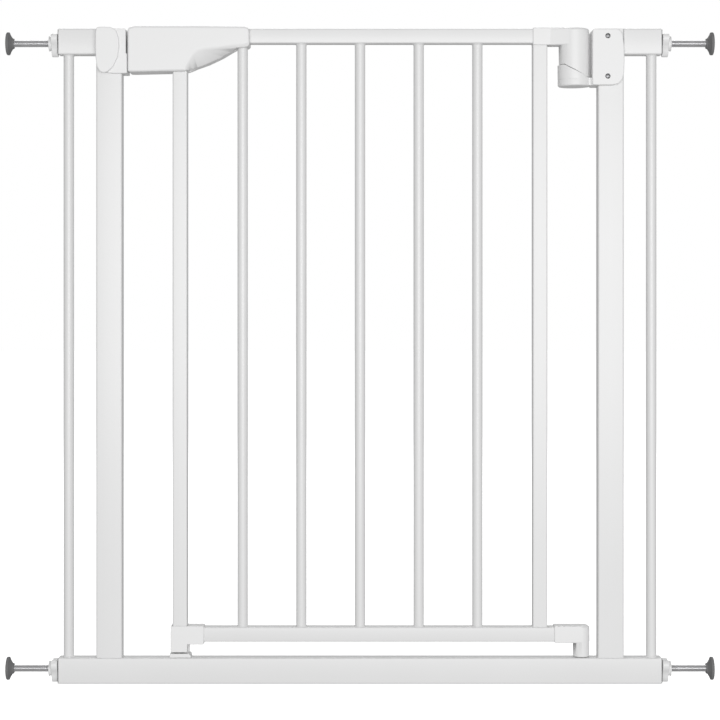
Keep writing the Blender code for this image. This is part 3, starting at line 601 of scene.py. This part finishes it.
class GATE_OT_welds(bpy.types.Operator):
    """Makes the weld beads between tubes and bars"""

    bl_idname = "gate.welds"
    bl_label = "Weld beads"

    def execute(self, context):
        sizes = context.scene.gate_sizes
        bead = sizes.bead
        for node in [*BARS, "left_outer_bar", "right_outer_bar"]:
            low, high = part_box(node)
            centre = middle(node)
            radius = (high.x - low.x) / 2
            for end, z in (("foot", low.z), ("head", high.z)):
                extra(ring_bead(f"{node}_{end}_bead", (centre.x, centre.y, z), radius, bead), node)
        for node in ("left_post", "right_post", "door_left_stile", "door_right_stile"):
            low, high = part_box(node)
            corner = sizes.tube_corner if "post" in node else sizes.door_corner
            ends = [("foot", low.z)] if "post" in node else [("foot", low.z), ("head", high.z)]
            for end, z in ends:
                centre = (middle(node).x, 0, z)
                run = rounded_run(centre, high.x - low.x, high.y - low.y, corner, "Z")
                extra(seam_bead(f"{node}_{end}_bead", run, bead * 0.4), node)
        for side, sign in SIDES:
            node = f"{side}_top_stub"
            low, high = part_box(node)
            x = low.x if sign > 0 else high.x
            centre = (x, 0, middle(node).z)
            run = rounded_run(centre, high.z - low.z, high.y - low.y, sizes.tube_corner, "X")
            extra(seam_bead(f"{node}_bead", run, bead * 0.4), node)
        return {"FINISHED"}


# ---------------------------------------------------------------- spindles
def threaded(name, start, sign, length, radius, pitch, depth):
    """A threaded rod along X from start, its thread a real helix, its ends closed."""
    deselect()
    bpy.ops.mesh.primitive_plane_add(size=0.001)
    piece = named(name)
    bpy.ops.object.mode_set(mode="EDIT")
    bpy.ops.mesh.select_mode(type="VERT")
    bpy.ops.mesh.select_all(action="SELECT")
    bpy.ops.mesh.merge(type="CENTER")
    bpy.ops.transform.translate(value=(radius - depth, 0, 0))
    thread = ((depth, 0.42), (0, 0.12), (-depth, 0.40), (0, 0.06))  # rise, and share of the pitch
    for rise, share in thread:
        bpy.ops.mesh.extrude_region_move(TRANSFORM_OT_translate={"value": (rise, 0, pitch * share)})
    object_mode()
    turns = int(length / pitch) - 1
    modify(
        piece, "SCREW", screw_offset=pitch, iterations=turns, steps=20, render_steps=20,
        use_merge_vertices=True, merge_threshold=1e-6)
    pick(piece, "faces", lambda face: True)
    bpy.ops.mesh.remove_doubles(threshold=1e-6)
    bpy.ops.mesh.select_all(action="DESELECT")
    bpy.ops.mesh.select_mode(type="EDGE")
    bpy.ops.mesh.select_non_manifold(
        extend=False, use_multi_face=False, use_non_contiguous=False, use_verts=False)
    bpy.ops.mesh.edge_face_add()
    object_mode()
    turn = Matrix.Rotation(sign * math.pi / 2, 4, "Y")
    piece.matrix_world = Matrix.Translation(start) @ turn
    settle(piece)
    outward(piece)
    return smooth(piece, 30)


class GATE_OT_spindles(bpy.types.Operator):
    """Makes the threaded spindles"""

    bl_idname = "gate.spindles"
    bl_label = "Spindles"

    def execute(self, context):
        sizes = context.scene.gate_sizes
        for side, sign, level in SPINDLES:
            node = f"{side}_{level}_spindle"
            low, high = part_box(node)
            start = Vector((low.x if sign > 0 else high.x, 0, middle(node).z))
            piece = threaded(
                node + "_piece", start, sign, width(node, 0), width(node, 2) / 2, sizes.pitch,
                sizes.thread_depth)
            dress(piece, node)
        return {"FINISHED"}


def pad_profile(rim, neck, depth):
    """A wall pad's section, from the middle of its face out to its rim and back to its socket."""
    first_ring, ring_step, ring_depth = 0.0046, 0.0026, 0.0005
    edge_radius, edge_steps = 0.0011, 4
    socket = neck + 0.0003
    socket_floor = 0.0040
    profile = [(0.0, 0.0006), (0.0024, 0.0006), (0.0028, 0.0)]
    for ring in range(3):
        inner = first_ring + ring * ring_step
        profile += [
            (inner, 0.0), (inner + 0.0003, ring_depth), (inner + 0.0009, ring_depth), (inner + 0.0012, 0.0)]
    for k in range(edge_steps + 1):
        angle = math.radians(90 * k / edge_steps)
        profile.append((
            rim - edge_radius + edge_radius * math.sin(angle), edge_radius - edge_radius * math.cos(angle)))
    profile += [(rim, 0.0026), (rim - 0.0002, 0.0031), (rim - 0.0008, 0.0034), (rim - 0.0018, 0.0036)]
    profile += [(neck + 0.0042, 0.0056), (neck + 0.0024, 0.0068), (neck + 0.0018, depth)]
    return profile + [(socket, depth), (socket, socket_floor), (0.0, socket_floor)]


class GATE_OT_pads(bpy.types.Operator):
    """Makes the rubber wall pads, with rings moulded in their faces"""

    bl_idname = "gate.pads"
    bl_label = "Wall pads"

    def execute(self, context):
        for side, sign, level in SPINDLES:
            node = f"{side}_{level}_wall_pad"
            low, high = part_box(node)
            face = high.x if sign > 0 else low.x
            neck = width(f"{side}_{level}_spindle", 2) / 2
            profile = pad_profile(width(node, 2) / 2, neck, width(node, 0))
            piece = turned(node + "_piece", profile, (face, 0, middle(node).z), (-sign, 0, 0), 72)
            dress(smooth(piece, 30), node)
        return {"FINISHED"}


NUT_GRIP = 0.0074  # length of a hand nut's lobed part
NUT_WAIST = 0.0095  # radius between the lobes
NUT_BORE = 0.0043
NUT_HUB = [
    (0.0, 0.0040), (0.0082, 0.0040), (0.0082, 0.0095), (0.0088, 0.0099), (0.0089, 0.0105), (0.0086, 0.0108),
    (0.0070, 0.0108), (0.0066, 0.0104), (0.0062, 0.0100), (0.0, 0.0100)]


def lobed(name, inner, sign, z, lobe):
    """A disc on a line along X, swollen into three lobes, one of them pointing down."""
    deselect()
    bpy.ops.mesh.primitive_cylinder_add(
        vertices=108, radius=1.0, depth=NUT_GRIP, location=(inner + sign * NUT_GRIP / 2, 0, z),
        rotation=(0, math.pi / 2, 0))
    piece = settle(named(name))
    for vertex in piece.data.vertices:
        angle = math.atan2(vertex.co.y, z - vertex.co.z)
        swell = (0.5 + 0.5 * math.cos(3 * angle)) ** 1.3
        radius = NUT_WAIST + (lobe - NUT_WAIST) * swell
        vertex.co.y = radius * math.sin(angle)
        vertex.co.z = z - radius * math.cos(angle)
    return modify(
        piece, "BEVEL", width=0.0009, segments=4, limit_method="ANGLE", angle_limit=math.radians(60))


class GATE_OT_nuts(bpy.types.Operator):
    """Makes the hand nuts, with three lobes and a hub"""

    bl_idname = "gate.nuts"
    bl_label = "Hand nuts"

    def execute(self, context):
        for side, sign, level in SPINDLES:
            node = f"{side}_{level}_hand_nut"
            low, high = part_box(node)
            inner = low.x if sign > 0 else high.x
            z = middle(f"{side}_{level}_spindle").z
            piece = lobed(node + "_piece", inner, sign, z, z - low.z)
            boolean(piece, "UNION", turned("hub", NUT_HUB, (inner, 0, z), (sign, 0, 0), 72))
            bore = rod("bore", (inner - sign * 0.01, 0, z), (inner + sign * 0.03, 0, z), NUT_BORE, 48)
            boolean(piece, "DIFFERENCE", bore)
            dress(crisp(piece), node)
        return {"FINISHED"}


# ---------------------------------------------------------------- screws
def screw(node, head_way, head_height, shank):
    """A pan-head screw in its node's place: a domed head with a cross recess, and a threaded shank."""
    low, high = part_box(node)
    way = Vector(head_way)
    along = max(range(3), key=lambda axis: abs(way[axis]))
    across = (along + 1) % 3
    radius = (high[across] - low[across]) / 2
    length = (high - low)[along]
    top = (low + high) / 2
    top[along] = high[along] if way[along] > 0 else low[along]
    profile = [(0.0, 0.0), (0.45 * radius, 0.00006), (0.72 * radius, 0.00022), (0.90 * radius, 0.00048)]
    profile += [(radius, 0.00085), (radius, head_height), (shank, head_height)]
    thread_step, root = 0.0008, shank - 0.0003
    for k in range(int((length - head_height - 0.0016) / thread_step)):
        depth = head_height + 0.0002 + k * thread_step
        profile += [(shank, depth), (root, depth + thread_step * 0.5)]
    profile += [(root, length - 0.0012), (0.0, length)]
    piece = turned(node + "_piece", profile, top, -way, 48)
    slot, reach, recess_depth = 0.15 * radius, 0.56 * radius, 0.0009
    for turn in range(2):
        half = Vector((slot, slot, slot))
        half[(along + 1 + turn) % 3] = reach
        half[along] = recess_depth
        boolean(piece, "DIFFERENCE", block("recess", top - half, top + half))
    smooth(piece, 35)
    return dress(piece, node)


class GATE_OT_screws(bpy.types.Operator):
    """Makes the screws of the hinge, the catch and the handle"""

    bl_idname = "gate.screws"
    bl_label = "Screws"

    def execute(self, context):
        screw("hinge_screw_upper", (0, -1, 0), 0.0016, 0.0017)
        screw("hinge_screw_lower", (0, -1, 0), 0.0016, 0.0017)
        screw("catch_screw", (0, 0, 1), 0.0013, 0.0016)
        screw("handle_screw_1", (0, 1, 0), 0.0017, 0.0012)
        screw("handle_screw_2", (0, 1, 0), 0.0017, 0.0012)
        return {"FINISHED"}


# ---------------------------------------------------------------- mouldings
class GATE_OT_latch(bpy.types.Operator):
    """Makes the bolt's keeper, its two caps and the bottom catch"""

    bl_idname = "gate.latch"
    bl_label = "Latch and catch"

    def execute(self, context):
        for node in ("latch_housing", "latch_cap_front", "latch_cap_back", "bottom_catch"):
            dress(moulded(node), node)
        return {"FINISHED"}


def arm_web(axis_x):
    """The wedge that carries the arm's sleeve smoothly out to the front of its barrel."""
    barrel_front, sleeve_front, back = -0.0170, -0.0104, -0.0086
    underside, top = 0.7414, 0.7596
    reach, lean = 0.0250, 0.0045
    web = block("web", (axis_x - reach, barrel_front, underside), (axis_x - 0.0040, back, top))
    pick(web, "verts", lambda vertex: vertex.co.x < axis_x - 0.020 and vertex.co.y < -0.010)
    bpy.ops.transform.translate(value=(-lean, sleeve_front - barrel_front, 0))
    object_mode()
    pick(web, "edges", lambda edge: (
        min(v.co.z for v in edge.verts) > top - 0.0006 or max(v.co.y for v in edge.verts) < -0.010))
    bpy.ops.mesh.bevel(offset=0.0010, segments=3, affect="EDGES")
    object_mode()
    return web


class GATE_OT_top_hinge(bpy.types.Operator):
    """Makes the bracket and the arm of the top hinge, with their pin and sleeve"""

    bl_idname = "gate.top_hinge"
    bl_label = "Top hinge"

    def execute(self, context):
        arm = moulded("hinge_arm")
        boolean(arm, "UNION", arm_web(middle("top_hinge_pin").x))
        dress(crisp(arm), "hinge_arm")
        for node in ("hinge_bracket", "top_hinge_pin", "top_hinge_sleeve"):
            dress(moulded(node), node)
        return {"FINISHED"}


class GATE_OT_low_hinge(bpy.types.Operator):
    """Makes the elbow of the lower hinge, with its pin, sleeve and bush"""

    bl_idname = "gate.low_hinge"
    bl_label = "Lower hinge"

    def execute(self, context):
        for node in ("lower_hinge_elbow", "bottom_hinge_pin", "bottom_hinge_sleeve", "bottom_hinge_bush"):
            dress(moulded(node), node)
        return {"FINISHED"}


class GATE_OT_handle(bpy.types.Operator):
    """Makes the handle's shells, its slider, the bolt and the spring"""

    bl_idname = "gate.handle"
    bl_label = "Handle"

    def execute(self, context):
        for node in (
                "handle_front_shell", "handle_back_shell", "thumb_slider", "latch_bolt", "release_spring"):
            dress(moulded(node), node)
        return {"FINISHED"}


class GATE_OT_caps(bpy.types.Operator):
    """Makes the door's corner cap and the plugs in the tubes"""

    bl_idname = "gate.caps"
    bl_label = "Caps and plugs"

    def execute(self, context):
        for node in ("corner_cap", "left_post_plug", "right_post_plug"):
            dress(moulded(node), node)
        for side, sign, level in SPINDLES:
            node = f"{side}_{level}_end_plug"
            dress(moulded(node), node)
        return {"FINISHED"}


# ---------------------------------------------------------------- stage
def lamp(name, place, aim, width, height, power):
    deselect()
    bpy.ops.object.light_add(type="AREA", location=place)
    light = bpy.context.object
    light.name = name
    light.data.shape = "RECTANGLE"
    light.data.size = width
    light.data.size_y = height
    light.data.energy = power
    light.rotation_euler = (Vector(aim) - Vector(place)).to_track_quat("-Z", "Y").to_euler()
    return light


CAMERA_AWAY = 2.31
CAMERA_HEIGHT = 0.45
CAMERA_LENS = 99.2  # mm
CAMERA_SENSOR = 36.0  # mm
VIEW_MIDDLE = 0.3757  # height that stands in the middle of the view


class GATE_OT_stage(bpy.types.Operator):
    """Makes the floor, the lights and the camera"""

    bl_idname = "gate.stage"
    bl_label = "Stage"

    def execute(self, context):
        deselect()
        bpy.ops.mesh.primitive_circle_add(
            vertices=96, radius=14.0, fill_type="NGON", location=(0, 0, -0.0005))
        floor = settle(named("studio_floor"))
        floor.data.materials.append(studio_floor(bpy.context.scene.gate_colours.floor))
        floor.visible_diffuse = False
        floor.visible_glossy = False
        bpy.context.scene.world = studio_world()
        lamp("key", (0.3, -3.2, 0.56), (0, 0, 0.30), 3.0, 1.0, 61)
        lamp("overhead", (0.0, -0.2, 3.2), (0, 0, 0), 3.0, 3.0, 2)
        lamp("rear", (-0.2, 2.7, 2.4), (0, 0, 0.4), 2.6, 1.8, 30)
        deselect()
        bpy.ops.object.camera_add(location=(0, -CAMERA_AWAY, CAMERA_HEIGHT), rotation=(math.pi / 2, 0, 0))
        camera = bpy.context.object
        camera.name = "studio_camera"
        camera.data.lens = CAMERA_LENS
        camera.data.sensor_width = CAMERA_SENSOR
        view_width = CAMERA_SENSOR / CAMERA_LENS * (CAMERA_AWAY - 0.01)
        camera.data.shift_y = (VIEW_MIDDLE - CAMERA_HEIGHT) / view_width
        bpy.context.scene.camera = camera
        bpy.context.scene.view_settings.view_transform = "Standard"
        return {"FINISHED"}


class GATE_PT_panel(bpy.types.Panel):
    """Lists the gate's pieces in the sidebar"""

    bl_label = "Safety Gate"
    bl_idname = "GATE_PT_panel"
    bl_space_type = "VIEW_3D"
    bl_region_type = "UI"
    bl_category = "Gate"

    def draw(self, context):
        for group in (context.scene.gate_sizes, context.scene.gate_colours):
            box = self.layout.box()
            for key in group.__annotations__:
                box.prop(group, key)
        for operator in OPERATORS:
            self.layout.operator(operator.bl_idname)


OPERATORS = [
    GATE_OT_tubes, GATE_OT_bars, GATE_OT_welds, GATE_OT_spindles, GATE_OT_pads, GATE_OT_nuts, GATE_OT_screws,
    GATE_OT_latch, GATE_OT_top_hinge, GATE_OT_low_hinge, GATE_OT_handle, GATE_OT_caps, GATE_OT_stage,
]


def register():
    for each in (GateSizes, GateColours, *OPERATORS, GATE_PT_panel):
        bpy.utils.register_class(each)
    bpy.types.Scene.gate_sizes = bpy.props.PointerProperty(type=GateSizes)
    bpy.types.Scene.gate_colours = bpy.props.PointerProperty(type=GateColours)


def unregister():
    del bpy.types.Scene.gate_colours
    del bpy.types.Scene.gate_sizes
    for each in reversed((GateSizes, GateColours, *OPERATORS, GATE_PT_panel)):
        bpy.utils.unregister_class(each)


def main():
    register()
    for operator in OPERATORS:
        group, name = operator.bl_idname.split(".")
        getattr(getattr(bpy.ops, group), name)()


if __name__ == "__main__":
    main()
